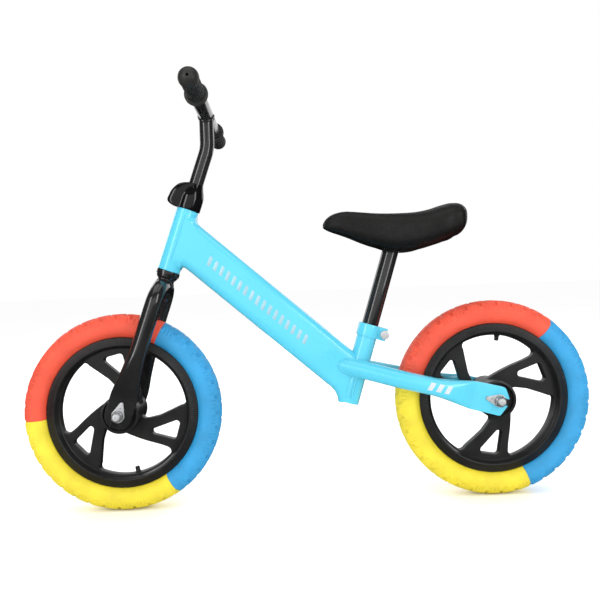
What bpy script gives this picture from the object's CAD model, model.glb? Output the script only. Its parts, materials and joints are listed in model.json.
"""The looks of a child's balance bike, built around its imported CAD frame."""

import json
import math

import bmesh
import bpy
from mathutils import Matrix, Vector


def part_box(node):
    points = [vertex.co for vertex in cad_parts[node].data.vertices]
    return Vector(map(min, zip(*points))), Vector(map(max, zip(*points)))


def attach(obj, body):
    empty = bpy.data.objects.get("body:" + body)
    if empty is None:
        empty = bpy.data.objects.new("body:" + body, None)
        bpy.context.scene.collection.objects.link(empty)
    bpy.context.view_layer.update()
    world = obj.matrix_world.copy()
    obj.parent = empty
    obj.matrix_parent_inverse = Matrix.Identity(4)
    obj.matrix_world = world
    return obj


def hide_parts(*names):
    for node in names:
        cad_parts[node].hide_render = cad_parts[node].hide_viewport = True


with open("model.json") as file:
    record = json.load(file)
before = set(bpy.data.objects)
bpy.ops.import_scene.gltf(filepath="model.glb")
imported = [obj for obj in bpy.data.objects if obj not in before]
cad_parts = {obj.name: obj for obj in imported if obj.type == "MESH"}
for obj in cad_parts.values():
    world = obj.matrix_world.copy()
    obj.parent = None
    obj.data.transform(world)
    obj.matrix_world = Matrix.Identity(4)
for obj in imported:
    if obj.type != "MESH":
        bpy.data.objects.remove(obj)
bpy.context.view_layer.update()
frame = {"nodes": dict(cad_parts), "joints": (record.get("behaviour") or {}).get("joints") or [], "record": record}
nodes = frame["nodes"]
record = frame["record"]
joints = {j["name"]: j for j in frame["joints"]}
mounts = {m["name"]: m for m in record["mounts"]}
slots = {entry["node"]: entry["material_slot"] for entry in record["subparts"]}
body_of = {node: body for body, names in record["behaviour"]["bodies"].items() for node in names}

MM = 0.001
SIDES = {"left": 1, "right": -1}
LEFT = Vector((0, 1, 0))
UP = Vector((0, 0, 1))
AHEAD = Vector((1, 0, 0))

# ---- where things are


def axes_at(origin, x, y, z):
    """A matrix that places a local frame with these axes at origin, in metres."""
    return Matrix([(*x, 0), (*y, 0), (*z, 0), (*origin, 1)]).transposed()


def upright(origin, up):
    """Local +Z runs along up, local +Y to the rider's left, local +X forward."""
    up = Vector(up).normalized()
    return axes_at(origin, LEFT.cross(up), LEFT, up)


HUBS = {end: Vector(joints[end + "_wheel_spin"]["pos_m"]) for end in ("front", "rear")}
HEAD = upright(HUBS["front"], joints["steering"]["axis"])
SEAT_UP = Vector(mounts["post_side"]["axis"]).normalized()
POST_MOUNT_UP = 178
SEAT = upright(Vector(mounts["post_side"]["pos_m"]) - POST_MOUNT_UP * MM * SEAT_UP, SEAT_UP)
STAY_SLOPE = math.radians(14.4)
STAY = upright(HUBS["rear"], (-math.sin(STAY_SLOPE), 0, math.cos(STAY_SLOPE)))
BAR = Vector((mounts["bar_left"]["pos_m"][0], 0, mounts["bar_left"]["pos_m"][2]))
WORLD = Matrix.Identity(4)


def on_axle(hub, side="left"):
    """Local +Z runs along the axle to that side of the bike, local +Y points down."""
    return axes_at(hub, (1, 0, 0), (0, 0, -1), (0, SIDES[side], 0))


def on_side(place, side):
    """The place as it is for the left side, or mirrored across the bike for the right."""
    return place @ Matrix.Diagonal((1, SIDES[side], 1, 1))


def sideways(place, offset=(0, 0, 0)):
    """A frame at an offset in millimetres, whose local +Z is the place's +Y."""
    return place @ Matrix.Translation(Vector(offset) * MM) @ Matrix.Rotation(-math.pi / 2, 4, "X")


# ---- mesh building


def turns(steps):
    """Angles of equal steps once round."""
    return [2 * math.pi * k / steps for k in range(steps)]


def polar(r, t, z):
    return r * math.cos(t), r * math.sin(t), z


class Shape:
    """Rings of points in millimetres of a local frame, skinned into faces."""

    def __init__(self):
        self.points = []
        self.faces = []

    def ring(self, points):
        start = len(self.points)
        self.points.extend(points)
        return range(start, start + len(points))

    def strip(self, a, b, closed):
        n = len(a)
        for i in range(n if closed else n - 1):
            j = (i + 1) % n
            self.faces.append((a[i], a[j], b[j], b[i]))

    def loft(self, sections, closed=True, around=False, caps=True):
        rings = [self.ring(s) for s in sections]
        for a, b in zip(rings, rings[1:]):
            self.strip(a, b, closed)
        if around:
            self.strip(rings[-1], rings[0], closed)
        elif caps:
            self.faces.append(tuple(reversed(rings[0])))
            self.faces.append(tuple(rings[-1]))
        return self

    def lathe(self, profile, steps=96, closed=False):
        """profile is (radius, height) points; the axis is local +Z."""
        sections = [[polar(r, t, z) for r, z in profile] for t in turns(steps)]
        return self.loft(sections, closed=closed, around=True)


def bare_mesh(name, shape, matrix):
    mesh = bpy.data.meshes.new(name)
    mesh.from_pydata([matrix @ (Vector(p) * MM) for p in shape.points], [], shape.faces)
    return tidy(mesh, solid=True)


def round_ring(r, z, steps):
    """Points of a circle about local +Z."""
    return [polar(r, t, z) for t in turns(steps)]


def tube_ring(centre, a_axis, b_axis, half_a, half_b, corner, steps=8):
    """Points round a rounded rectangle that stands at centre, across a tube."""
    return [tuple(centre + a_axis * a + b_axis * b) for a, b in soft_box(half_a, half_b, corner, steps)]


def turn_outward(bm):
    """Turns the faces of each separate solid so that they face out of it."""
    seen = set()
    for start in bm.faces:
        if start in seen:
            continue
        island, queue = [], [start]
        seen.add(start)
        while queue:
            face = queue.pop()
            island.append(face)
            for other in {f for edge in face.edges for f in edge.link_faces} - seen:
                seen.add(other)
                queue.append(other)
        if sum(f.normal.dot(f.calc_center_median()) * f.calc_area() for f in island) < 0:
            bmesh.ops.reverse_faces(bm, faces=island)


def tidy(mesh, solid=False):
    """Welds points closer than 0.01 mm, drops loose ones and makes the faces' sides agree."""
    bm = bmesh.new()
    bm.from_mesh(mesh)
    bmesh.ops.remove_doubles(bm, verts=bm.verts, dist=0.01 * MM)
    loose = [v for v in bm.verts if not v.link_faces]
    bmesh.ops.delete(bm, geom=loose, context="VERTS")
    bmesh.ops.recalc_face_normals(bm, faces=bm.faces)
    if solid:
        turn_outward(bm)
    bm.to_mesh(mesh)
    bm.free()
    return mesh


def linked(name, mesh):
    obj = bpy.data.objects.new(name, mesh)
    bpy.context.scene.collection.objects.link(obj)
    return obj


def evaluated(obj):
    bpy.context.view_layer.update()
    graph = bpy.context.evaluated_depsgraph_get()
    return bpy.data.meshes.new_from_object(obj.evaluated_get(graph))


def cut(mesh, cutters):
    """The mesh after each cutter mesh has been taken out of it."""
    obj = linked("cut_body", mesh)
    tools = []
    for cutter in cutters:
        tool = linked("cut_tool", cutter)
        modifier = obj.modifiers.new("cut", "BOOLEAN")
        modifier.operation = "DIFFERENCE"
        modifier.solver = "EXACT"
        modifier.object = tool
        tools.append(tool)
    result = evaluated(obj)
    for thing in [obj] + tools:
        bpy.data.objects.remove(thing)
    return result


def rod(matrix, radius, low, high, steps=96):
    """A closed round rod along local +Z, used to cut."""
    shape = Shape().lathe([(0, low), (radius, low), (radius, high), (0, high)], steps)
    return bare_mesh("rod", shape, matrix)


def slab(matrix, low, high):
    """A closed box between two corners, used to cut."""
    x, y, z = zip(low, high)
    rings = [[(x[0], y[0], h), (x[1], y[0], h), (x[1], y[1], h), (x[0], y[1], h)] for h in z]
    return bare_mesh("slab", Shape().loft(rings), matrix)


def piece(name, mesh, finish, sharp=35, body=None):
    """The mesh as the look of the CAD node of that name, or as one more piece of a body."""
    label = name if body else name + "_look"
    mesh.name = label
    mesh.shade_smooth()
    mesh.set_sharp_from_angle(angle=math.radians(sharp))
    mesh.materials.clear()
    mesh.materials.append(finish.material)
    obj = linked(label, mesh)
    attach(obj, body or body_of[name])
    if not body:
        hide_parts(name)
    return obj


def joined(*meshes):
    """One mesh that holds all of these."""
    bm = bmesh.new()
    for mesh in meshes:
        bm.from_mesh(mesh)
    out = bpy.data.meshes.new("joined")
    bm.to_mesh(out)
    bm.free()
    return out


def bead(path, size, closed=False):
    """A rippled weld bead along a path, as a Shape."""
    ripple, ripple_step, corners = 0.14, 2.1, 8
    sections = []
    count = len(path)
    for i, p in enumerate(path):
        before = path[i - 1] if closed or i else p
        after = path[(i + 1) % count] if closed or i < count - 1 else p
        along = (after - before).normalized()
        side = (side - along * side.dot(along) if sections else along.orthogonal()).normalized()
        across = along.cross(side)
        r = size * (1 + ripple * math.sin(i * ripple_step))
        if not closed:
            r *= math.sqrt(max(0.05, 1 - abs(2 * i / (count - 1) - 1) ** 6))
        offsets = [side * r * math.cos(t) + across * r * math.sin(t) for t in turns(corners)]
        sections.append([tuple(p + offset) for offset in offsets])
    return Shape().loft(sections, around=closed)


def refined(name, width):
    """A copy of a CAD node's mesh, welded, with its hard edges rounded over a width."""
    flat, hard_turn = math.radians(0.5), math.radians(30)
    source = nodes[name].data
    mesh = bpy.data.meshes.new(name)
    faces = [tuple(face.vertices) for face in source.polygons]
    mesh.from_pydata([v.co.copy() for v in source.vertices], [], faces)
    bm = bmesh.new()
    bm.from_mesh(tidy(mesh))
    bmesh.ops.dissolve_limit(bm, angle_limit=flat, verts=bm.verts, edges=bm.edges)
    hard = [e for e in bm.edges if len(e.link_faces) == 2 and e.calc_face_angle(0) > hard_turn]
    bmesh.ops.bevel(
        bm, geom=hard, offset=width * MM, segments=3, profile=0.5, affect="EDGES", clamp_overlap=True
    )
    bmesh.ops.dissolve_degenerate(bm, dist=1e-6, edges=bm.edges)
    bm.to_mesh(mesh)
    bm.free()
    return mesh


def bezier(a, b, c, steps=5):
    """Points of the curve from a to c that b pulls."""
    out = []
    for i in range(steps + 1):
        t = i / steps
        u = 1 - t
        out.append(Vector([u * u * p + 2 * u * t * q + t * t * r for p, q, r in zip(a, b, c)]))
    return out


def between(table, x):
    """Straight-line reading of a table of (x, value, ...) rows, at an x inside it."""
    for low, high in zip(table, table[1:]):
        if low[0] <= x <= high[0]:
            t = (x - low[0]) / (high[0] - low[0])
            return tuple(p + (q - p) * t for p, q in zip(low[1:], high[1:]))


def eased(table, x):
    """A smooth curve through the rows, level beyond the first and the last."""
    rows = [table[0]] + list(table) + [table[-1]]
    x = min(max(x, table[0][0]), table[-1][0])
    for before, low, high, after in zip(rows, rows[1:], rows[2:], rows[3:]):
        if low[0] <= x <= high[0]:
            gap = high[0] - low[0]
            t = (x - low[0]) / gap
            out = []
            for k in range(1, len(low)):
                slope_in = (high[k] - before[k]) / max(high[0] - before[0], gap) * gap
                slope_out = (after[k] - low[k]) / max(after[0] - low[0], gap) * gap
                ends = (2 * t**3 - 3 * t**2 + 1) * low[k] + (3 * t**2 - 2 * t**3) * high[k]
                out.append(ends + (t**3 - 2 * t**2 + t) * slope_in + (t**3 - t**2) * slope_out)
            return tuple(out)


def soft_box(half_a, half_b, corner, steps=8, flats=4):
    """Points round a rectangle with round corners, as (a, b) pairs, always the same count."""
    corner = min(corner, half_a, half_b)
    arcs = []
    for sa, sb, start in ((1, 1, 0), (-1, 1, 90), (-1, -1, 180), (1, -1, 270)):
        ca, cb = sa * (half_a - corner), sb * (half_b - corner)
        angles = [math.radians(start + 90 * k / steps) for k in range(steps + 1)]
        arcs.append([(ca + corner * math.cos(t), cb + corner * math.sin(t)) for t in angles])
    out = []
    for arc, following in zip(arcs, arcs[1:] + arcs[:1]):
        (a, b), (c, d) = arc[-1], following[0]
        out += arc + [(a + (c - a) * k / flats, b + (d - b) * k / flats) for k in range(1, flats)]
    return out


# ---- materials


# Nearly all of a noise texture's values lie between these
NOISE_SPAN = (0.3, 0.7)


class Finish:
    """A procedural material: colour mottled by noise, uneven roughness and a fine bump."""

    def __init__(self, slot, colour, rough, **socket):
        self.slot = slot
        self.material = bpy.data.materials.new(slot)
        self.material.use_nodes = True
        self.tree = self.material.node_tree
        self.shader = self.tree.nodes["Principled BSDF"]
        self.shader.inputs["Roughness"].default_value = rough
        self.shader.inputs["Base Color"].default_value = (*colour, 1)
        for name, value in socket.items():
            self.shader.inputs[name.replace("_", " ")].default_value = value
        self.place = self.tree.nodes.new("ShaderNodeTexCoord").outputs["Object"]
        self.height = None

    def noise(self, scale, detail=3, kind="ShaderNodeTexNoise"):
        node = self.tree.nodes.new(kind)
        self.tree.links.new(self.place, node.inputs["Vector"])
        node.inputs["Scale"].default_value = scale
        node.inputs["Detail"].default_value = detail
        return node.outputs[0]

    def mottle(self, dark, light, scale):
        """Lets the colour wander between a dark and a light shade."""
        ramp = self.tree.nodes.new("ShaderNodeValToRGB")
        for element, place, colour in zip(ramp.color_ramp.elements, NOISE_SPAN, (dark, light)):
            element.position = place
            element.color = (*colour, 1)
        self.tree.links.new(self.noise(scale), ramp.inputs["Fac"])
        self.tree.links.new(ramp.outputs["Color"], self.shader.inputs["Base Color"])

    def scuff(self, low, high, scale):
        """Lets the roughness wander between low and high."""
        node = self.tree.nodes.new("ShaderNodeMapRange")
        for name, value in zip(("From Min", "From Max", "To Min", "To Max"), (*NOISE_SPAN, low, high)):
            node.inputs[name].default_value = value
        self.tree.links.new(self.noise(scale, 4), node.inputs["Value"])
        self.tree.links.new(node.outputs["Result"], self.shader.inputs["Roughness"])

    def bump(self, scale, depth, detail=2, kind="ShaderNodeTexNoise"):
        node = self.tree.nodes.new("ShaderNodeBump")
        node.inputs["Strength"].default_value = 1
        node.inputs["Distance"].default_value = depth
        self.tree.links.new(self.noise(scale, detail, kind), node.inputs["Height"])
        if self.height:
            self.tree.links.new(self.height, node.inputs["Normal"])
        self.height = node.outputs["Normal"]
        self.tree.links.new(self.height, self.shader.inputs["Normal"])
        return self


def shades(colour, spread):
    """A darker and a lighter shade of a colour."""
    return tuple(c * (1 - spread) for c in colour), tuple(min(1, c * (1 + spread)) for c in colour)


def finish(slot, colour, spread, scale, rough, rough_spread, **socket):
    """A finish whose colour and roughness each wander by a spread over patches of a scale."""
    made = Finish(slot, colour, rough, **socket)
    made.mottle(*shades(colour, spread), scale)
    made.scuff(rough - rough_spread, rough + rough_spread, scale * 3)
    return made


VORONOI = "ShaderNodeTexVoronoi"
SKY_BLUE = (0.088, 0.53, 0.71)
GLOSS_BLACK = (0.014, 0.014, 0.0145)
frame_paint = finish("frame_paint", SKY_BLUE, 0.03, 12, 0.3, 0.05, Coat_Weight=0.65, Coat_Roughness=0.05)
frame_paint.bump(420, 0.00004).bump(2600, 0.00001)
black_paint = finish("black_paint", GLOSS_BLACK, 0.2, 20, 0.22, 0.05, Coat_Weight=0.8, Coat_Roughness=0.05)
black_paint.bump(500, 0.000008)
black_plastic = finish("black_plastic", (0.0125,) * 3, 0.25, 30, 0.36, 0.07).bump(900, 0.00005, 4)
cover_plastic = finish("black_plastic", (0.004, 0.004, 0.0045), 0.2, 25, 0.12, 0.04).bump(260, 0.00001)
grip_rubber = finish("grip_rubber", (0.02, 0.021, 0.019), 0.2, 60, 0.5, 0.08).bump(1500, 0.0001, 4)
saddle_skin = finish("saddle_skin", (0.006, 0.006, 0.0055), 0.2, 25, 0.5, 0.05, Specular_IOR_Level=0.38)
saddle_skin.bump(650, 0.00018, 2, VORONOI).bump(90, 0.0002)
zinc = finish("zinc", (0.68, 0.69, 0.7), 0.1, 80, 0.3, 0.08, Metallic=0.5).bump(700, 0.00003, 4)
nut_zinc = finish("zinc", (0.55, 0.56, 0.58), 0.15, 80, 0.22, 0.06, Metallic=0.85).bump(700, 0.00003, 4)
steel = finish("steel", (0.42, 0.42, 0.43), 0.15, 60, 0.36, 0.08, Metallic=0.6).bump(1200, 0.00004, 4)
foams = {}
for colour_name, rgb in (
    ("red", (0.74, 0.075, 0.034)),
    ("yellow", (0.76, 0.62, 0.028)),
    ("blue", (0.022, 0.29, 0.58)),
):
    foam = finish(colour_name + "_foam", rgb, 0.1, 35, 0.5, 0.08)
    foam.bump(1300, 0.00022, 2, VORONOI).bump(160, 0.0003, 4)
    foams[colour_name] = foam
silver_print = finish("frame_paint", (0.36, 0.56, 0.64), 0.05, 60, 0.32, 0.06, Metallic=0.2)
silver_print.bump(900, 0.00002)
white_print = finish("frame_paint", (0.52, 0.58, 0.6), 0.04, 60, 0.35, 0.06).bump(900, 0.00002)

CARRIED = {
    look.slot: look
    for look in (frame_paint, black_paint, black_plastic, grip_rubber, saddle_skin, zinc, steel)
}

# ---- tyres

# Tread blocks along one colour, and where the ticks on the shoulder stand between them
PITCHES = 13
TICKS = (0.25, 0.5, 0.75)
TICK_HALF = 0.06
BLOCK_GAP_DEPTH, TICK_DEPTH, SHOULDER_GROOVE_DEPTH, CROWN_CUT_DEPTH = 2, 0.75, 1.2, 1.5
RIM_GRIP_R = 115.45


def tyre_half():
    """Half of the tyre's section: (radius, half width, how far out over the tread 0..1.4)."""
    widest_r, half_w, steps = 131, 22.5, 21
    out = [(106.5, 10.6, 0), (113.9, 10.6, 0), (115.4, 11.6, 0), (115.5, 14.2, 0)]
    for a in range(-56, 0, 7):
        t = math.radians(a)
        out.append((widest_r + 15.4 * math.sin(t), half_w * math.cos(t) ** 0.5, 0))
    for k in range(steps + 1):
        t = math.radians(k * 78 / steps)
        out.append((widest_r + 19 * math.sin(t), half_w * math.cos(t) ** 0.62, k / steps))
    return out + [(149.9, 6.6, 1.1), (150, 4.6, 1.2), (150, 2.3, 1.3), (150, 0, 1.4)]


def ridge(x, low, high, edge=0.07):
    """0 outside low..high, 1 well inside."""
    return max(0, min(1, (x - low) / edge, (high - x) / edge))


def tread_depth(turn, out):
    """How deep the tread is cut at a turn counted in pitches."""
    share = turn - math.floor(turn)
    near = min(share, 1 - share)
    deep = BLOCK_GAP_DEPTH * ridge(near, -1, 0.12, 0.035) * ridge(out, 0.48, 1.02, 0.1)
    for tick in TICKS:
        across = ridge(share, tick - TICK_HALF, tick + TICK_HALF, TICK_HALF / 2)
        deep = max(deep, TICK_DEPTH * across * ridge(out, 0.2, 0.64, 0.1))
    if 0.9 < out < 1.03:
        deep = max(deep, SHOULDER_GROOVE_DEPTH)
    if out > 1.05:
        deep = max(deep, CROWN_CUT_DEPTH * ridge(share, 0.4, 0.6, 0.02))
    return deep


def tread_turns():
    """Where the tread's section changes along a segment, counted in pitches."""
    shares = [0, 0.085, 0.12, 0.88, 0.915]
    for tick in TICKS:
        shares += [tick + TICK_HALF * k for k in (-1, -0.5, 0.5, 1)]
    shares += [0.4, 0.42, 0.58, 0.6]
    places = [k + share for k in range(PITCHES) for share in shares]
    return sorted(places + [0.02, PITCHES - 0.02, PITCHES])


def tyre_segment(name, hub, foam):
    """One colour's third of a tyre, centred where the CAD node has it."""
    half = tyre_half()
    section = half + [(r, -y, out) for r, y, out in reversed(half[:-1])]
    place = on_axle(hub)
    to_local = place.inverted()
    middle = sum((to_local @ v.co for v in nodes[name].data.vertices), Vector())
    centre = round(math.degrees(math.atan2(middle.y, middle.x)))
    normals = []
    for i, ahead in enumerate(section[1:] + section[:1]):
        behind = section[i - 1]
        normals.append(Vector((behind[1] - ahead[1], ahead[0] - behind[0])).normalized())
    sections = []
    for turn in tread_turns():
        a = math.radians(centre - 60 + 120 * turn / PITCHES)
        seam = 0.5 if turn in (0, PITCHES) else 0
        ring = []
        for (r, y, out), n in zip(section, normals):
            deep = tread_depth(turn, out) + (seam if r > RIM_GRIP_R else 0)
            ring.append(polar(r - n.x * deep, a, y - n.y * deep))
        sections.append(ring)
    piece(name, bare_mesh(name, Shape().loft(sections), place), foam, sharp=50)


# ---- wheels

# The valve stub's radius against its height above the rim's inside
VALVE = [(0, -9), (2.6, -9), (3.3, -8.4), (3.4, -6), (3.5, -3), (3.9, -1.2), (5.4, 0), (5.6, 2), (0, 2)]
# Half of the rim's section, from the middle of its inside round to the tyre's seat
RIM_HALF = [
    (96.5, 0), (96.5, 6.4), (96.9, 7.3), (98.2, 8), (99, 9), (99.8, 12), (101, 16.4), (101.6, 17.5),
    (102.6, 18.1), (103.6, 18.15), (104.6, 17.8), (113.3, 14.6), (114.2, 14.15), (114.9, 13.5),
    (115, 12.6), (114.9, 11.5), (106.6, 11.4), (105, 10.6), (104.5, 9.5), (104.5, 0),
]


def rim(name, hub):
    """The rim with fine ribs on its flanges, and the valve stub where the CAD node has it."""
    section = RIM_HALF + [(r, -y) for r, y in reversed(RIM_HALF[1:-1])]
    ribs, rib_depth, inside_r, stub_r = 216, 0.45, 96.5, 92
    sections = []
    for k, t in enumerate(turns(ribs * 4)):
        groove = rib_depth if k % 4 in (0, 1) else 0
        ring = []
        for r, y in section:
            sunk = groove if 104 < r < 114 and abs(y) > 14 else 0
            ring.append(polar(r, t, y - math.copysign(sunk, y)))
        sections.append(ring)
    rim_mesh = bare_mesh("rim", Shape().loft(sections, around=True), on_axle(hub))
    to_local = on_axle(hub).inverted()
    points = [to_local @ v.co for v in nodes[name].data.vertices]
    stub = [p for p in points if math.hypot(p.x, p.y) < stub_r * MM]
    turn = math.atan2(sum(p.y for p in stub), sum(p.x for p in stub))
    place = on_axle(hub) @ Matrix.Rotation(turn, 4, "Z") @ Matrix.Translation((inside_r * MM, 0, 0))
    valve_mesh = bare_mesh("valve", Shape().lathe(VALVE, 32), place @ Matrix.Rotation(math.pi / 2, 4, "Y"))
    piece(name, joined(rim_mesh, valve_mesh), black_plastic)


def flat_loops(node, to_local):
    """The outlines of a CAD node's flat side face, as loops of local points in metres."""
    mesh = nodes[node].data
    co = [to_local @ v.co for v in mesh.vertices]
    top = max(p.z for p in co)
    used = {}
    for face in mesh.polygons:
        if all(abs(co[i].z - top) < 2e-5 for i in face.vertices):
            keys = [(round(co[i].x, 6), round(co[i].y, 6)) for i in face.vertices]
            for a, b in zip(keys, keys[1:] + keys[:1]):
                used[(a, b)] = used.get((a, b), 0) + 1
    follow = {a: b for a, b in used if (b, a) not in used}
    loops = []
    while follow:
        start, here = follow.popitem()
        loop = [start]
        while here != start:
            loop.append(here)
            here = follow.pop(here)
        loops.append(loop)
    return loops


def filled(loops):
    """Flat triangles inside these loops: (points, faces)."""
    curve = bpy.data.curves.new("fill", "CURVE")
    curve.dimensions = "2D"
    curve.fill_mode = "BOTH"
    for loop in loops:
        spline = curve.splines.new("POLY")
        spline.points.add(len(loop) - 1)
        for point, p in zip(spline.points, loop):
            point.co = (p.x, p.y, 0, 1)
        spline.use_cyclic_u = True
    obj = linked("fill", curve)
    mesh = evaluated(obj)
    bpy.data.objects.remove(obj)
    return [v.co for v in mesh.vertices], [tuple(f.vertices) for f in mesh.polygons]


def inset(loop, depths):
    """The loop moved to its left, which is into the material, by a depth for each point."""
    out = []
    for i, p in enumerate(loop):
        before, after = p - loop[i - 1], loop[(i + 1) % len(loop)] - p
        along = before.normalized() + after.normalized()
        out.append(p + Vector((-along.y, along.x)).normalized() * depths[i])
    return out


def softened(loop):
    """The loop with each corner cut back a quarter of the way along both its sides."""
    out = []
    for i, p in enumerate(loop):
        for other in (loop[i - 1], loop[(i + 1) % len(loop)]):
            out.append(p * 0.75 + other * 0.25)
    return out


def spokes(name, hub):
    """The CAD plate's outline with rounded edges, run into the rim and the hub."""
    place = on_axle(hub)
    half_t, round_r, steps, apart = 7.5, 1.6, 5, 0.4
    window_r, rim_r, barrel_r, hub_r = 96.2, 100.5, 28.8, 26.5
    shape = Shape()
    brims = []
    for loop in flat_loops(name, place.inverted()):
        kept = []
        for p in softened(softened([Vector(p) / MM for p in loop])):
            r = p.length
            p *= rim_r / r if r > window_r else hub_r / r if r < barrel_r else 1
            if not kept or (p - kept[-1]).length > apart:
                kept.append(p)
        if (kept[0] - kept[-1]).length < apart:
            kept.pop()
        depths = [round_r * ridge(p.length, barrel_r, window_r + 0.1, round_r) for p in kept]
        rings = []
        for k in range(steps + 1):
            t = math.pi / 2 * k / steps
            moved = inset(kept, [d * (1 - math.sin(t)) for d in depths])
            rings.append([(p.x, p.y, half_t - d * (1 - math.cos(t))) for p, d in zip(moved, depths)])
        rings += [[(x, y, -z) for x, y, z in ring] for ring in reversed(rings)]
        shape.loft(rings, caps=False)
        brims.append(inset(kept, depths))
    points, faces = filled(brims)
    for z in (half_t, -half_t):
        ring = shape.ring([(p.x, p.y, z) for p in points])
        shape.faces += [tuple(ring[i] for i in face) for face in faces]
    obj = piece(name, bare_mesh(name, shape, place), black_plastic, sharp=40)
    for face in obj.data.polygons:
        face.use_smooth = abs(face.normal.y) < 0.9999


def hub_shell(name, hub):
    """The hub barrel, with a ring groove in each end round its bearing."""
    half = [
        (9, 0), (9, 25), (13.05, 25.2), (13.05, 32.5), (13.6, 33), (16.8, 33), (17.5, 32.5), (17.6, 27.8),
        (18.2, 27.2), (23.8, 27.2), (24.4, 27.8), (24.5, 32.4), (25.2, 33), (27.2, 33), (28.2, 32.6),
        (28.6, 31.7), (28.6, 29.6), (28.1, 29.2), (28.1, 28.4), (28.6, 28), (28.6, 0),
    ]
    section = half + [(r, -y) for r, y in reversed(half[1:-1])]
    piece(name, bare_mesh(name, Shape().lathe(section, 128, closed=True), on_axle(hub)), black_plastic)


for end, hub in HUBS.items():
    rim(end + "_rim", hub)
    spokes(end + "_spokes", hub)
    hub_shell(end + "_hub", hub)
    for colour_name, foam in foams.items():
        tyre_segment(end + "_tyre_" + colour_name, hub, foam)

# ---- frame tubes

# Room for one tube in another's end: radius, and from where to where along it
SEAT_TUBE_ROOM = (14.2, -60, 200)
HEAD_TUBE_ROOM = (16, 180, 400)
STEERER_ROOM = (12.2, 150, 230)

MAIN_HALF_W = 17
MAIN_CORNER = 14
MAIN_SLOPE = 0.8816
MAIN_FOOT = [
    # top and bottom of each cut across the tube as (x, z), and its half width there
    ((-62.5, 152.5), (-46.2, 152), 13), ((-65, 161), (-44.9, 159.5), 13.4),
    ((-68, 171), (-41.5, 167.8), 13.8), ((-73, 187), (-35.5, 175.3), 14.4),
    ((-78, 203), (-27.5, 182), 15), ((-83.1, 218.5), (-17, 191.4), 15.5),
    ((-74, 226.6), (-13, 194.9), 15.8), ((-64, 235.4), (-10, 197.6), 16.4),
]


def main_tube():
    """The big flattened tube: its bent foot, the straight run and the end at the head tube."""
    top_to_bottom = Vector((42.3, -48))

    def top_edge(x):
        return Vector((x, 291.8 + MAIN_SLOPE * x))

    cuts = [(Vector(top), Vector(low), half_w) for top, low, half_w in MAIN_FOOT]
    cuts += [(top_edge(x), top_edge(x) + top_to_bottom, MAIN_HALF_W) for x in range(-50, 135, 4)]
    tops = [top_edge(150)] + bezier((156.8, 430.1), (164.3, 436.7), (161.1, 445.5)) + [Vector((176, 451))]
    lows = [Vector((176, 361.5))] + bezier((180.9, 365.7), (187.6, 371.7), (190.5, 363.6))
    lows.append(Vector((205.5, 369)))
    cuts += [(top, low, MAIN_HALF_W) for top, low in zip(tops, lows)]
    rings = []
    for top, low, half_w in cuts:
        middle = (top + low) / 2
        along = (top - low).normalized()
        outline = soft_box((top - low).length / 2, half_w, MAIN_CORNER, 10, 6)
        rings.append([(p.x, b, p.y) for p, b in ((middle + along * a, b) for a, b in outline)])
    mesh = bare_mesh("main_tube", Shape().loft(rings), WORLD)
    mesh = cut(mesh, [rod(HEAD, *HEAD_TUBE_ROOM), rod(SEAT, *SEAT_TUBE_ROOM)])
    piece("main_tube", tidy(mesh), frame_paint, sharp=45)


PLATE_Y = 39
SLOT_HALF = 5.15
SMALL_HOLE_R, SMALL_HOLE_AT = 3.2, 18.5
STAY_R = 13.5
STAY_Y = 40.3
STAY_BEND = math.radians(21)
STAY_BEND_R = 90
STAY_BEND_FROM = 130
STAY_BEND_X = STAY_BEND_FROM + STAY_BEND_R * math.sin(STAY_BEND)
STAY_BEND_Y = STAY_Y - STAY_BEND_R * (1 - math.cos(STAY_BEND))
STAY_TABLE = [
    # along, bottom, top, half thickness, corner, centre y
    (-14.1, -5, 6.2, 1.6, 0.9, PLATE_Y), (-12.6, -8, 8.8, 2, 1.1, PLATE_Y),
    (-10, -13.8, 13.2, 2, 1.1, PLATE_Y), (-6.4, -21.2, 18.8, 2, 1.1, PLATE_Y),
    (-4.6, -22, 20.4, 2, 1.1, PLATE_Y), (-2, -22.4, 21.4, 2, 1.1, PLATE_Y),
    (4, -22.2, 21.8, 2, 1.1, PLATE_Y), (20, -21.8, 21.6, 2, 1.1, PLATE_Y),
    (36.5, -21.5, 21.5, 2, 1.1, PLATE_Y), (40, -21.4, 21.3, 2.3, 1.4, PLATE_Y + 0.05),
    (44, -21, 20.8, 3.6, 2.6, PLATE_Y + 0.2), (52, -19.8, 19.6, 6, 5.2, PLATE_Y + 0.5),
    (62, -18.2, 18, 8.6, 8, PLATE_Y + 0.8), (75, -16.2, 16.1, 11.2, 11, PLATE_Y + 1.1),
    (90, -14.3, 14.3, 13, 13, STAY_Y), (100, -STAY_R, STAY_R, STAY_R, STAY_R, STAY_Y),
]
BLADE_R = 12.7
BLADE_Y = 41
BLADE_BEND_R = 28
BLADE_BEND_UP = 172.9
TIP_HALF_W = 20.5
BLADE_TABLE = [
    # up the head, half width, half thickness, corner, centre y
    (0, TIP_HALF_W, 2, 1.2, PLATE_Y), (26, TIP_HALF_W, 2, 1.2, PLATE_Y),
    (32, 20.3, 2.6, 1.8, PLATE_Y + 0.1), (40, 19.4, 4.6, 4, PLATE_Y + 0.5),
    (50, 17.8, 7, 6.6, PLATE_Y + 0.9), (62, 16.3, 9.2, 9, PLATE_Y + 1.3), (76, 15, 11.1, 11, 40.7),
    (92, 13.7, 12.3, 12.3, BLADE_Y), (108, 12.9, BLADE_R, BLADE_R, BLADE_Y),
    (116, BLADE_R, BLADE_R, BLADE_R, BLADE_Y),
]


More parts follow.
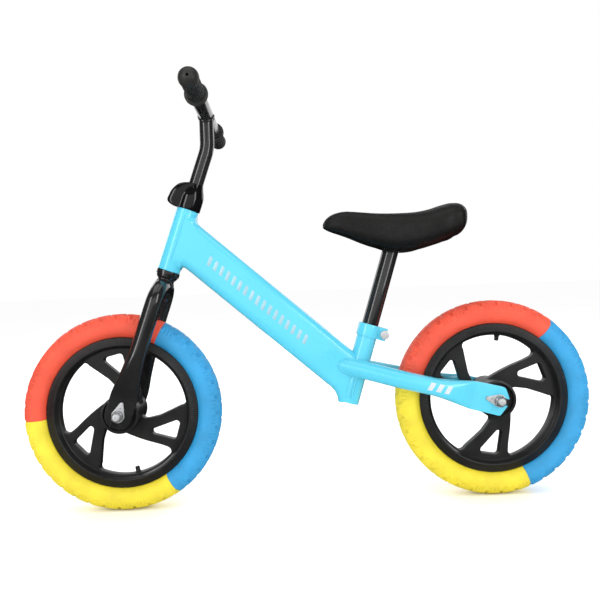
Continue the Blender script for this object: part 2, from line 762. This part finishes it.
def plate_cutters(place, slot_x, slot_z, small_hole):
    """What cuts the open axle slot and the small hole beside it out of a flattened end."""
    near, far = 30, 50
    return [
        rod(sideways(place), SLOT_HALF, near, far, 48),
        slab(place, (slot_x[0], near, slot_z[0]), (slot_x[1], far, slot_z[1])),
        rod(sideways(place, small_hole), SMALL_HOLE_R, near, far, 32),
    ]


def stay_section(s):
    """Bottom, top, half thickness, corner and centre y at a distance up the stay."""
    return between(STAY_TABLE, s) if s < 38 else eased(STAY_TABLE, s)


def chainstay(side):
    """Flattened plate with the axle slot, opening out into a round tube that bends inwards."""
    stations = [-14.1, -12.6, -10, -6.4, -4.6, -2, 1, 4, 8, 12, 16, 20, 24, 28, 32, 36.5, 38, 40, 42]
    stations += [44, 47, 50, 54, 58, 62, 66, 70, 75, 80, 85, 90, 95, 100, 110, 120]
    rings = []
    for s in stations:
        low, high, half_t, corner, mid_y = stay_section(s)
        centre = Vector((s, mid_y, (low + high) / 2))
        rings.append(tube_ring(centre, UP, LEFT, (high - low) / 2, half_t, corner))
    bend_steps = 21
    for k in range(bend_steps + 1):
        a = STAY_BEND * k / bend_steps
        out = Vector((math.sin(a), math.cos(a), 0))
        centre = Vector((STAY_BEND_FROM, STAY_Y - STAY_BEND_R, 0)) + out * STAY_BEND_R
        rings.append(tube_ring(centre, UP, out, STAY_R, STAY_R, STAY_R))
    onward = Vector((math.cos(STAY_BEND), -math.sin(STAY_BEND), 0))
    for run in (30, 60, 91):
        rings.append(tube_ring(centre + onward * run, UP, out, STAY_R, STAY_R, STAY_R))
    place = on_side(STAY, side)
    cutters = plate_cutters(place, (-24, 0), (-SLOT_HALF, SLOT_HALF), (SMALL_HOLE_AT, 0, 0))
    cutters.append(rod(SEAT, *SEAT_TUBE_ROOM))
    mesh = cut(bare_mesh("stay", Shape().loft(rings), place), cutters)
    piece("chainstay_" + side, tidy(mesh), frame_paint, sharp=40)


def fork_blade(side):
    """Flattened end with the axle slot, widening, then a round tube with a bent shoulder."""
    end_steps, bend_steps = 15, 18
    rings = []
    for k in range(1, end_steps + 1):
        a = math.radians(90 * k / end_steps)
        centre = Vector((0, PLATE_Y, -TIP_HALF_W * math.cos(a)))
        half_t = 2 if k > 2 else 1.4 + 0.2 * k
        rings.append(tube_ring(centre, AHEAD, LEFT, TIP_HALF_W * math.sin(a), half_t, 1.2))
    stations = [5, 10, 15, 20, 26, 29, 32, 35, 38, 41, 45, 50, 55, 60, 66, 72, 78, 85, 92, 100, 108, 116]
    for s in stations + [140, 160]:
        half_w, half_t, corner, mid_y = eased(BLADE_TABLE, s)
        rings.append(tube_ring(Vector((0, mid_y, s)), AHEAD, LEFT, half_w, half_t, corner))
    for k in range(bend_steps + 1):
        a = math.radians(90 * k / bend_steps)
        out = Vector((0, math.cos(a), math.sin(a)))
        centre = Vector((0, BLADE_Y - BLADE_BEND_R, BLADE_BEND_UP)) + out * BLADE_BEND_R
        rings.append(tube_ring(centre, AHEAD, out, BLADE_R, BLADE_R, BLADE_R))
    rings.append(tube_ring(centre - 12.6 * LEFT, AHEAD, out, BLADE_R, BLADE_R, BLADE_R))
    place = on_side(HEAD, side)
    cutters = plate_cutters(place, (-SLOT_HALF, SLOT_HALF), (-34, 0), (0, 0, SMALL_HOLE_AT))
    cutters.append(rod(HEAD, *STEERER_ROOM))
    mesh = cut(bare_mesh("blade", Shape().loft(rings), place), cutters)
    piece("fork_blade_" + side, tidy(mesh), black_paint, sharp=40)


main_tube()
for side in SIDES:
    chainstay(side)
    fork_blade(side)

# ---- handlebar

# The stem and the crossbar are the same tube
STEM_R = 11.1


def stem_post():
    """The bent post, notched for the crossbar, and the weld bead round that joint."""
    bend_r, foot_up, straight_steps, bend_steps, bead_steps = 60, 240, 5, 12, 72
    lean = math.asin(-HEAD[0][2])
    top_x = BAR.x / MM
    hub = HUBS["front"] / MM
    bend_z = hub.z + (hub.x - top_x) / math.tan(lean) + bend_r * math.tan(lean / 2)
    middle = Vector((top_x + bend_r, 0, bend_z))
    rings = []

    def outward(turn):
        return Vector((-math.cos(turn), 0, -math.sin(turn)))

    def add(centre, turn):
        rings.append(tube_ring(centre, outward(turn), LEFT, STEM_R, STEM_R, STEM_R, 12))

    start = middle + bend_r * outward(lean)
    foot = hub + Vector((-math.sin(lean), 0, math.cos(lean))) * foot_up
    for k in range(straight_steps + 1):
        add(foot + (start - foot) * k / straight_steps, lean)
    for k in range(1, bend_steps + 1):
        turn = lean * (1 - k / bend_steps)
        add(middle + bend_r * outward(turn), turn)
    add(Vector((top_x, 0, BAR.z / MM - 2)), 0)
    mesh = bare_mesh("stem", Shape().loft(rings), WORLD)
    mesh = cut(mesh, [rod(on_axle(BAR), STEM_R - 0.5, -60, 60)])
    path = [Vector(polar(STEM_R, t, -STEM_R * abs(math.sin(t)) - 0.6)) for t in turns(bead_steps)]
    bead_mesh = bare_mesh("bead", bead(path, 2, closed=True), Matrix.Translation(BAR))
    piece("stem_post", joined(tidy(mesh), bead_mesh), black_paint, sharp=45)


def grip_profile(start):
    """The flange, the fluted body and the ball end with its hole, as lists of (radius, y)."""
    end, ball_r, bore_r, hole_r = 195.5, 13.7, 11.25, 1.6
    ball_y = end - ball_r
    flange = [
        (bore_r, start), (15.6, start), (16.3, start + 0.4), (16.5, start + 1.1), (16.5, start + 3),
        (16.1, start + 3.8), (15.2, start + 4.2), (13.4, start + 4.8), (12.7, start + 6),
    ]
    body = []
    y = start + 7
    while y < ball_y - 8.5:
        body += [(11.9, y), (12.7, y + 0.7), (12.7, y + 2.1), (11.9, y + 2.8)]
        y += 3.4
    dome = []
    a = math.degrees(math.asin(-6.4 / ball_r))
    while a < 82:
        t = math.radians(a)
        dome.append((ball_r * math.cos(t), ball_y + ball_r * math.sin(t)))
        a += 6
    dome += [(2.4, end - 0.25), (1.75, end - 0.5), (hole_r, end - 1.2), (hole_r, end - 11.6)]
    return flange, body, dome + [(bore_r, end - 11.7)]


def grip(side):
    """A rubber grip, fluted round and along."""
    flange, body, dome = grip_profile(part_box("grip_left")[0].y / MM)
    steps, flute_depth = 144, 0.75
    sections = []
    for k, t in enumerate(turns(steps)):
        flute = flute_depth if k % 6 in (0, 1) else 0
        profile = flange + [(r - flute if r > 12.5 else r, y) for r, y in body] + dome
        sections.append([polar(r, t, y) for r, y in profile])
    mesh = bare_mesh("grip", Shape().loft(sections, around=True), on_axle(BAR, side))
    piece("grip_" + side, mesh, grip_rubber, sharp=32)


stem_post()
for side in SIDES:
    grip(side)

COVER_LOW, COVER_TOP, COVER_THICK = 325.6, 365.7, 1.5
COVER_NOSE = [
    # up the head, how far the hood reaches forward
    (COVER_LOW, 26.5), (326.4, 29), (328.6, 32.3), (332, 33.9), (339, 33.1), (345.6, 32), (352, 29.2),
    (356, 26.6), (359.5, 23.6), (363, 17.5), (COVER_TOP, 9.4),
]
COVER_BELL = [
    # up the head, radius
    (COVER_LOW, 18.1), (326.4, 18.5), (343, 18.5), (347.6, 18), (351.6, 16.9), (355.4, 15.6),
    (358.7, 14.2), (362.6, 12.8), (COVER_TOP, 11.9),
]


def cover_reach(s, t, thin):
    """How far the cover's surface is from the head's axis, at a height and turn, less a wall."""
    square_power, join_power, reach_limit = 6, 26, 60
    c, d = math.cos(t), abs(math.sin(t))
    bell = eased(COVER_BELL, s)[0] - thin
    if c <= 0:
        return bell
    front = eased(COVER_NOSE, s)[0] - thin
    half_w = 15 - thin - 1.5 * max(0, (s - 350) / 16)
    hood = (abs(c / front) ** square_power + abs(d / half_w) ** square_power) ** (-1 / square_power)
    return (bell**join_power + min(hood, reach_limit) ** join_power) ** (1 / join_power)


def headset_cover():
    """Bell over the top of the head tube, with a square-sided hood in front for the clamp bolt."""
    levels = [COVER_LOW, 326, 326.8, 328.6, 330.5, 332.5, 335, 338, 341, 344, 346.5, 349, 351.5, 354]
    levels += [356, 358, 360, 361.8, 363.4, 364.7, 365.5]
    steps = 160

    def ring(s, thin, drop=0):
        return [polar(cover_reach(s, t, thin), t, s - drop) for t in turns(steps)]

    rings = [ring(s, 0) for s in levels]
    rings += [round_ring(r, s, steps) for r, s in ((11.9, 366), (11.5, 365.8), (11.45, 365.2), (11.6, 364))]
    rings += [ring(s, COVER_THICK, 1.4 if s > 340 else 0) for s in reversed(levels[1:])]
    rings.append(ring(COVER_LOW, 0.8))
    mesh = bare_mesh("cover", Shape().loft(rings, around=True), HEAD)
    piece("headset_cover", mesh, cover_plastic, sharp=50)


headset_cover()

# ---- saddle

SADDLE = [
    # back, half width, bottom, top
    (-31.5, 4, 421, 427), (-35, 11, 418.5, 433), (-43, 17, 414.6, 439.5), (-55, 21, 410.2, 443.7),
    (-70, 24, 404.4, 445), (-90, 27, 395.6, 443.2), (-110, 31, 388, 441), (-130, 38, 381, 439.7),
    (-150, 48, 378, 439.2), (-170, 58, 379, 439.5), (-190, 65, 384, 442.4), (-208, 67, 389.6, 447.6),
    (-222, 64, 395.4, 450.8), (-230, 60, 400.5, 451),
]
SADDLE_TAIL = -230
SADDLE_END = -250
SADDLE_FLOOR = 340
POCKET_SHARE = 0.6
BASE_LOW, BASE_HIGH = (corner.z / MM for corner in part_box("saddle_base"))


def saddle_section(x):
    """Half width, bottom and top at x; the tail closes in an ellipse that rises a little."""
    half_w, low, high = eased([(-row[0], *row[1:]) for row in SADDLE], -x)
    if x < SADDLE_TAIL:
        share = (SADDLE_TAIL - x) / (SADDLE_TAIL - SADDLE_END)
        closing = math.sqrt(max(0, 1 - share**2))
        end_z, pinch = 436, closing**1.4
        return half_w * closing**0.9, end_z + (low - end_z) * pinch, end_z + (high - end_z) * pinch
    return half_w, low, high


def pocket_ring(share, z):
    """Points round the hollow under the saddle, at a share of the saddle's width."""
    front, length, count = -95, 132, 33
    half = []
    for k in range(count):
        t = 0.5 - 0.5 * math.cos(math.pi * (k + 0.5) / count)
        x = front - length * t
        half.append((x, saddle_section(x)[0] * share * min(1, 8 * t * (1 - t)) ** 0.5, z))
    return half + [(x, -y, z) for x, y, z in reversed(half)]


def saddle_base():
    """Moulded plate in the hollow, with ribs underneath behind the bracket."""
    edge, rib_depth, rib_half, gap = 0.8, 5, 1, 0.05
    wide, narrow = POCKET_SHARE - 0.01, POCKET_SHARE - 0.025
    levels = [(narrow, BASE_LOW), (wide, BASE_LOW + edge), (wide, BASE_HIGH - edge)]
    rings = [pocket_ring(share, z) for share, z in levels + [(narrow, BASE_HIGH - gap)]]
    meshes = [bare_mesh("plate", Shape().loft(rings), WORLD)]
    low, high = BASE_LOW - rib_depth, BASE_LOW + 1
    for y in (-28, -14, 0, 14, 28):
        back = -224 + abs(y) / 2
        meshes.append(slab(WORLD, (back, y - rib_half, low), (-182, y + rib_half, high)))
    for x in (-210, -195):
        meshes.append(slab(WORLD, (x - rib_half, -30, low + 1), (x + rib_half, 30, high)))
    piece("saddle_base", joined(*meshes), black_plastic)


def saddle():
    """The padded saddle: a rounded body with a shallow groove along its top and a hollow below."""
    steps, groove_depth, groove_half = 96, 1.6, 7
    stations = [-31.5, -32.2, -33.4, -35, -37, -39.5, -43, -48]
    stations += [-54 - 4 * k for k in range(43)]
    tail = SADDLE_END - SADDLE_TAIL
    stations += [SADDLE_TAIL + tail * math.sin(math.radians(6 * k)) for k in range(15)]
    stations += [SADDLE_END + 0.02]
    rings = []
    for x in stations:
        half_w, low, high = saddle_section(x)
        middle, half = (low + high) / 2, (high - low) / 2
        ring = []
        for t in turns(steps):
            c, s = math.cos(t), math.sin(t)
            y = half_w * math.copysign(abs(c) ** 0.7, c)
            z = middle + half * math.copysign(abs(s) ** (0.78 if s > 0 else 0.55), s)
            if s > 0:
                groove = groove_depth * math.exp(-((y / groove_half) ** 2))
                z -= groove * ridge(-x, 70, 215) * min(1, half / 20)
            ring.append((x, y, z))
        rings.append(ring)
    pocket = Shape().loft([pocket_ring(POCKET_SHARE, z) for z in (SADDLE_FLOOR, BASE_HIGH)])
    mesh = cut(bare_mesh("saddle", Shape().loft(rings), WORLD), [bare_mesh("pocket", pocket, WORLD)])
    obj = piece("saddle_pad", tidy(mesh), saddle_skin, sharp=60)


saddle()
saddle_base()

# ---- axle nuts

NUT_HEIGHT, NUT_APOTHEM, UNCUT = 8, 7.5, 99
# Height and radius up the flange, then height and the largest radius left of the hexagon, then the hole
NUT_FLANGE = [(0, 8.2), (0.25, 8.6), (1, 8.6), (1.3, 8.3)]
NUT_HEX = [
    (1.35, 7.95), (2, UNCUT), (3.5, UNCUT), (5, UNCUT), (6.2, UNCUT), (6.8, UNCUT), (7.2, 8.5), (7.6, 8.05),
    (NUT_HEIGHT, 7.45),
]
NUT_HOLE = [(NUT_HEIGHT, 5.7), (7.6, 5.1), (0, 5.05)]


def axle_nut(end, side):
    """A flanged hexagon nut where the CAD nut is, chamfered on its outer side."""
    name = f"{end}_nut_{side}"
    low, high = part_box(name)
    start = min(abs(low.y), abs(high.y)) / MM
    stretch = (high.y - low.y) / MM / NUT_HEIGHT
    steps = 96
    rings = [round_ring(r, start + h * stretch, steps) for h, r in NUT_FLANGE]
    for h, limit in NUT_HEX:
        ring = []
        for t in turns(steps):
            r = min(limit, NUT_APOTHEM / math.cos((t + math.pi / 6) % (math.pi / 3) - math.pi / 6))
            ring.append(polar(r, t, start + h * stretch))
        rings.append(ring)
    rings += [round_ring(r, start + h * stretch, steps) for h, r in NUT_HOLE]
    mesh = bare_mesh(name, Shape().loft(rings, around=True), on_axle(HUBS[end], side))
    piece(name, mesh, nut_zinc, sharp=30)


for end in HUBS:
    for side in SIDES:
        axle_nut(end, side)

# ---- weld beads


def stay_seam(sign):
    """Points where a stay's round tube runs into the side of the main tube."""
    lap = []
    for t in turns(48):
        out, rise = STAY_R * math.cos(t), STAY_R * math.sin(t)
        run = (STAY_BEND_Y + out * math.cos(STAY_BEND) - MAIN_HALF_W) / math.sin(STAY_BEND)
        if run >= 40:
            x = STAY_BEND_X + run * math.cos(STAY_BEND) + out * math.sin(STAY_BEND)
            lap.append(Vector((x, sign * MAIN_HALF_W, rise)))
    return sorted(lap, key=lambda p: math.atan2(p.z, p.x - 220))


def frame_welds():
    """Beads where the main tube meets the head tube and the seat tube, and where the stays end."""
    meshes = []
    for sign in (1, -1):
        seat_seam = [Vector((0.3, sign * 16.6, z)) for z in range(8, 70, 2)]
        head_seam = [Vector((-0.8, sign * 16.9, z)) for z in range(242, 318, 2)]
        meshes.append(bare_mesh("seat_seam", bead(seat_seam, 1.5), SEAT))
        meshes.append(bare_mesh("head_seam", bead(head_seam, 1.2), HEAD))
        meshes.append(bare_mesh("stay_seam", bead(stay_seam(sign), 1.2), STAY))
    piece("frame_welds", joined(*meshes), frame_paint, sharp=60, body="frame")


def crown_welds():
    """Bead round the steerer where the two blades meet over it."""
    seam_r, middle = 13.3, 201.3
    path = [Vector(polar(seam_r, t, middle + BLADE_R * abs(math.sin(t)))) for t in turns(64)]
    mesh = bare_mesh("crown", bead(path, 1.6, closed=True), HEAD)
    piece("crown_welds", mesh, black_paint, sharp=60, body="fork")


frame_welds()
crown_welds()

# ---- plain marks


def main_tube_marks():
    """A row of plain slanted silver bars along both sides of the main tube."""
    direction = Vector((1, MAIN_SLOPE)).normalized()
    across = Vector((-direction.y, direction.x))
    first = Vector((143, 375.5))
    bars, pitch, half_long, half_tall, slant = 17, 11.7, 2.7, 7, 0.3
    layers = ((MAIN_HALF_W - 0.2, 1), (MAIN_HALF_W + 0.05, 1), (MAIN_HALF_W + 0.12, 0.97))
    shape = Shape()
    for sign in (1, -1):
        for k in range(bars):
            centre = first - direction * pitch * k
            rings = []
            for y, share in layers:
                ring = []
                for a, b in soft_box(half_long, half_tall, 0.8, 3, 2):
                    p = centre + direction * (a * share + slant * b) + across * b * share
                    ring.append((p.x, sign * y, p.y))
                rings.append(ring)
            shape.loft(rings)
    piece("main_tube_marks", bare_mesh("main_tube_marks", shape, WORLD), silver_print, body="frame")


def stay_surface(s, up):
    """How far out the stay's surface is at a distance along it and a height off its centre line."""
    low, high, half_t, corner, mid_y = stay_section(s)
    over = max(0, abs(up - (low + high) / 2) - (high - low) / 2 + corner)
    return mid_y + half_t - corner + math.sqrt(max(0, corner**2 - over**2))


def stay_marks():
    """Three plain white slanted bars on the outside of each chainstay."""
    starts, long, low, high, slant = (78, 91, 104), 7.4, -5.6, 6.6, -0.35
    long_steps, tall_steps, proud, sunk = 6, 12, 0.12, 0.3
    shape = Shape()
    for sign in (1, -1):
        for start in starts:
            columns = []
            for i in range(long_steps + 1):
                outer, inner = [], []
                for j in range(tall_steps + 1):
                    up = low + (high - low) * j / tall_steps
                    s = start + long * i / long_steps + slant * up
                    y = stay_surface(s, up)
                    outer.append((s, sign * (y + proud), up))
                    inner.append((s, sign * (y - sunk), up))
                columns.append(outer + inner[::-1])
            shape.loft(columns)
    piece("stay_marks", bare_mesh("stay_marks", shape, STAY), white_print, body="frame")


main_tube_marks()
stay_marks()

# ---- carried-over CAD nodes

# Nodes that no one can see and that stay as the CAD has them
HIDDEN_INSIDE = [
    "crown_race", "ball_ring_lower", "ball_ring_upper", "top_race", "front_sleeve", "rear_sleeve",
]
# How wide hard edges are rounded, in millimetres, as a rule and where it differs
EDGE = 0.35
EDGES = {"seat_clamp": 1.3, "head_tube": 0.8, "seat_tube": 0.6, "stem_clamp": 0.8}

for name, obj in nodes.items():
    look = CARRIED.get(slots[name])
    if look is None:
        continue
    obj.data.materials.clear()
    obj.data.materials.append(look.material)
    if name + "_look" not in bpy.data.objects and name not in HIDDEN_INSIDE:
        piece(name, refined(name, EDGES.get(name, EDGE)), look)

# ---- studio

LAMP_TARGET = Vector((0, 0, 0.3))
CAMERA_AT = Vector((29, 1017.8, 331.5)) * MM
CAMERA_YAW, CAMERA_PITCH, CAMERA_ROLL = (math.radians(a) for a in (-1.18, 1.13, -2.09))
SENSOR_WIDTH, LENS = 36, 39.46


def floor():
    """A white floor that reaches 60 m each way, so that its edge never shows."""
    size = 60000
    rings = [[(-size, y, 0), (size, y, 0)] for y in (-size, size)]
    mesh = bare_mesh("floor", Shape().loft(rings, closed=False, caps=False), WORLD)
    look = Finish("floor", (0.98, 0.98, 0.98), 0.8, Specular_IOR_Level=0.0)
    look.mottle((0.97, 0.97, 0.97), (0.99, 0.99, 0.99), 2)
    look.bump(40, 0.00005)
    mesh.materials.append(look.material)
    obj = linked("floor", mesh)
    obj.visible_glossy = False


def lamp(name, place, width, height, radiance):
    """A rectangular lamp that faces the bike's middle; the camera doesn't see it."""
    data = bpy.data.lights.new(name, "AREA")
    data.shape, data.size, data.size_y = "RECTANGLE", width, height
    data.energy = radiance * math.pi * width * height
    obj = linked(name, data)
    obj.location = place
    obj.rotation_euler = (LAMP_TARGET - Vector(place)).to_track_quat("-Z", "Y").to_euler()
    obj.visible_camera = False


def aim_camera():
    """The photo's camera, a little off square to the bike's left side."""
    forward = Vector((math.sin(CAMERA_YAW), -math.cos(CAMERA_YAW), 0))
    right = Vector((-math.cos(CAMERA_YAW), -math.sin(CAMERA_YAW), 0))
    c, s = math.cos(CAMERA_PITCH), math.sin(CAMERA_PITCH)
    forward, up = c * forward - s * UP, s * forward + c * UP
    c, s = math.cos(CAMERA_ROLL), math.sin(CAMERA_ROLL)
    right, up = c * right + s * up, -s * right + c * up
    data = bpy.data.cameras.new("camera")
    data.sensor_width, data.lens = SENSOR_WIDTH, LENS
    camera = linked("camera", data)
    camera.matrix_world = axes_at(CAMERA_AT, right, up, -forward)
    bpy.context.scene.camera = camera


floor()
world = bpy.data.worlds.new("studio")
bpy.context.scene.world = world
world.use_nodes = True
background = world.node_tree.nodes["Background"]
background.inputs["Color"].default_value = (1, 1, 1, 1)
background.inputs["Strength"].default_value = 1.0
world.cycles_visibility.glossy = False
lamp("left_front", (1.5, 1.7, 0.9), 0.5, 1.7, 4.5)
lamp("right_front", (-1.5, 1.7, 0.9), 0.5, 1.7, 4.5)
lamp("overhead", (0, 0.4, 2.6), 3, 2, 1.0)
lamp("behind_left", (1.8, -1.8, 1.2), 0.7, 1.6, 2.0)
lamp("behind_right", (-1.8, -1.8, 1.2), 0.7, 1.6, 2.0)
lamp("front_card", (0, 4.5, 1.2), 6, 3, 0.6)
lamp("back_card", (0, -3.2, 1.5), 5, 2.6, 0.9)
aim_camera()
bpy.context.scene.view_settings.view_transform = "Standard"
